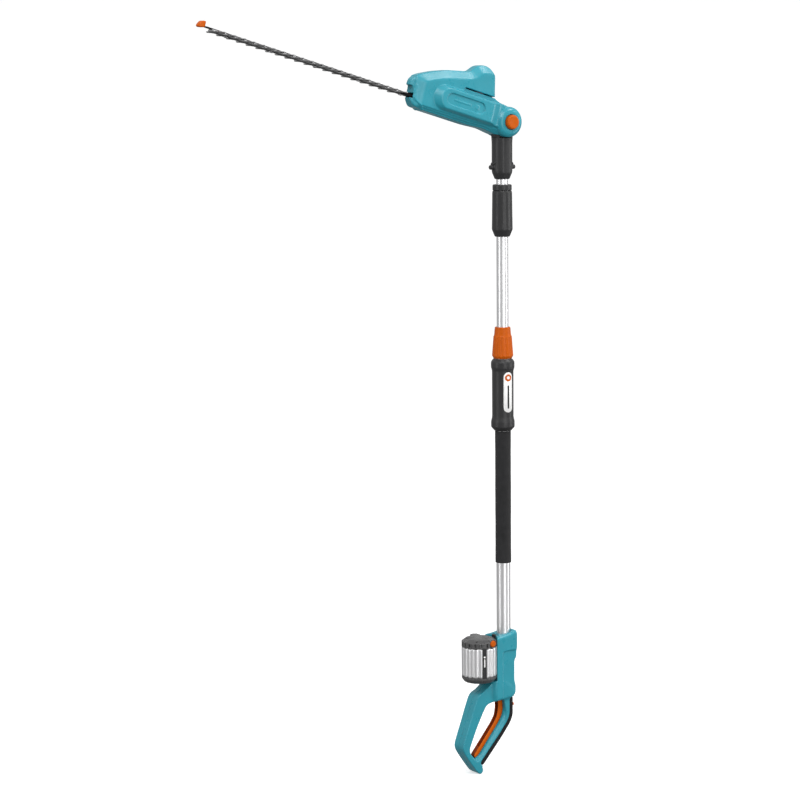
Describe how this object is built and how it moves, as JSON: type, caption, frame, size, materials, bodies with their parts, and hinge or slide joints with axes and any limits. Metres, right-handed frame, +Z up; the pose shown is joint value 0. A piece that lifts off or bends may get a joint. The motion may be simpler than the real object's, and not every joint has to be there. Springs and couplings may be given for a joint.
{
  "type": "pole hedge trimmer",
  "caption": "Cordless telescopic pole hedge trimmer with a tilting double-action blade head, loop handle with a long trigger and a slide-in round battery.",
  "frame": {"origin": "on the pole's axis at the middle of the foam sleeve that the front hand holds", "axes": "+Z up along the pole towards the head, -X towards the blade and the battery, -Y on the side of the tilt lock button"},
  "size_m": [0.7231, 0.0801, 1.5365],
  "materials": {
    "teal_shell": "moulded, satin",
    "orange_plastic": "moulded, satin",
    "dark_plastic": "fine grained",
    "foam": "closed-cell foam, dull",
    "soft_rubber": "soft touch, dull",
    "bright_tube": "drawn, clear anodised",
    "jacket_aluminium": "ribbed, satin",
    "blade_steel": "ground and blackened",
    "guide_steel": "stamped",
    "screw_steel": "zinc plated",
    "drive_steel": "machined",
    "cast_plate": "die cast",
    "cell_steel": "wrapped cells",
    "cable": "smooth jacket",
    "white_plastic": "printed plate, gloss"
  },
  "bodies": {
    "pole": {"lower_tube": "bright_tube", "clamp_collet": "dark_plastic", "grip_housing": "dark_plastic", "label_plate": "white_plastic", "foam_sleeve": "foam", "handle_shell_left": "teal_shell", "handle_shell_right": "teal_shell", "soft_grip_strip": "soft_rubber", "terminal_block": "dark_plastic", "trigger_switch": "dark_plastic", "trigger_pin": "screw_steel", "coiled_cable": "cable"},
    "nut": {"clamp_nut": "orange_plastic"},
    "upper_pole": {"upper_tube": "bright_tube", "guide_bush": "white_plastic", "power_cable": "cable", "tube_connector": "dark_plastic", "stub_tube": "bright_tube", "sleeve_ring": "dark_plastic", "head_coupling": "dark_plastic"},
    "sleeve": {"coupling_sleeve": "dark_plastic"},
    "head": {"head_shell_left": "teal_shell", "head_shell_right": "teal_shell", "motor": "drive_steel", "gear_plate": "cast_plate", "crank_bearing": "drive_steel", "blade_guide_bar": "guide_steel", "tip_guard": "orange_plastic", "blade_screw_1": "screw_steel", "blade_screw_2": "screw_steel", "blade_screw_3": "screw_steel", "blade_screw_4": "screw_steel", "blade_screw_5": "screw_steel", "hinge_bolt": "screw_steel", "detent_ring": "drive_steel", "tilt_lock_spring": "screw_steel"},
    "tilt_lock": {"tilt_lock_button": "orange_plastic", "lock_ring": "drive_steel"},
    "rotor": {"motor_shaft": "drive_steel", "motor_pinion": "drive_steel"},
    "crank": {"crank_gear": "drive_steel", "crank_shaft": "drive_steel"},
    "knife_upper": {"upper_knife": "blade_steel"},
    "knife_lower": {"lower_knife": "blade_steel"},
    "trigger_lever": {"trigger": "orange_plastic"},
    "safety": {"safety_button": "orange_plastic"},
    "battery": {"battery_cap": "dark_plastic", "battery_jacket": "jacket_aluminium", "battery_base": "dark_plastic", "battery_strip": "dark_plastic", "cell_pack": "cell_steel", "battery_rail": "dark_plastic"},
    "release_left": {"release_button_left": "orange_plastic"},
    "release_right": {"release_button_right": "orange_plastic"}
  },
  "joints": [
    {"name": "telescope", "type": "slide", "parent": "pole", "child": "upper_pole", "axis": [0, 0, 1], "range_m": [0, 0.55], "deforming": ["coiled_cable"]},
    {"name": "nut_turn", "type": "hinge", "parent": "pole", "child": "nut", "pos_m": [0, 0, 0.318], "axis": [0, 0, 1], "range_deg": [0, 270]},
    {"name": "sleeve_turn", "type": "hinge", "parent": "upper_pole", "child": "sleeve", "pos_m": [0, 0, 0.58], "axis": [0, 0, 1], "range_deg": [0, 270]},
    {"name": "head_tilt", "type": "hinge", "parent": "upper_pole", "child": "head", "pos_m": [0, 0, 0.7643], "axis": [0, 1, 0], "range_deg": [0, 135]},
    {"name": "tilt_lock_press", "type": "slide", "parent": "head", "child": "tilt_lock", "axis": [0, 1, 0], "range_m": [0, 0.006], "stiffness_N_per_m": 800, "springref_m": -0.005, "deforming": ["tilt_lock_spring"]},
    {"name": "upper_knife_slide", "type": "slide", "parent": "head", "child": "knife_upper", "axis": [-0.9598, 0, 0.2807], "range_m": [-0.0055, 0.0055]},
    {"name": "lower_knife_slide", "type": "slide", "parent": "head", "child": "knife_lower", "axis": [-0.9598, 0, 0.2807], "range_m": [-0.0055, 0.0055]},
    {"name": "crank_spin", "type": "hinge", "parent": "head", "child": "crank", "pos_m": [-0.09723, 0, 0.79273], "axis": [0.2807, 0, 0.9598], "continuous": true},
    {"name": "motor_spin", "type": "hinge", "parent": "head", "child": "rotor", "pos_m": [-0.0739, 0, 0.78591], "axis": [0.2807, 0, 0.9598], "continuous": true},
    {"name": "trigger_squeeze", "type": "hinge", "parent": "pole", "child": "trigger_lever", "pos_m": [-0.074, 0, -0.531], "axis": [0, 1, 0], "range_deg": [0, 4], "stiffness_Nm_per_rad": 4, "springref_deg": -2.86},
    {"name": "safety_press", "type": "slide", "parent": "pole", "child": "safety", "axis": [-1, 0, 0], "range_m": [0, 0.003], "stiffness_N_per_m": 600, "springref_m": -0.003},
    {"name": "battery_slide", "type": "slide", "parent": "pole", "child": "battery", "axis": [0, 0, 1], "range_m": [0, 0.12]},
    {"name": "release_left_press", "type": "slide", "parent": "battery", "child": "release_left", "axis": [0, 1, 0], "range_m": [0, 0.003], "stiffness_N_per_m": 600, "springref_m": -0.003},
    {"name": "release_right_press", "type": "slide", "parent": "battery", "child": "release_right", "axis": [0, -1, 0], "range_m": [0, 0.003], "stiffness_N_per_m": 600, "springref_m": -0.003}
  ],
  "couplings": [
    {"joint": "lower_knife_slide", "follows": "upper_knife_slide", "ratio": -1},
    {"joint": "motor_spin", "follows": "crank_spin", "ratio": -3}
  ]
}
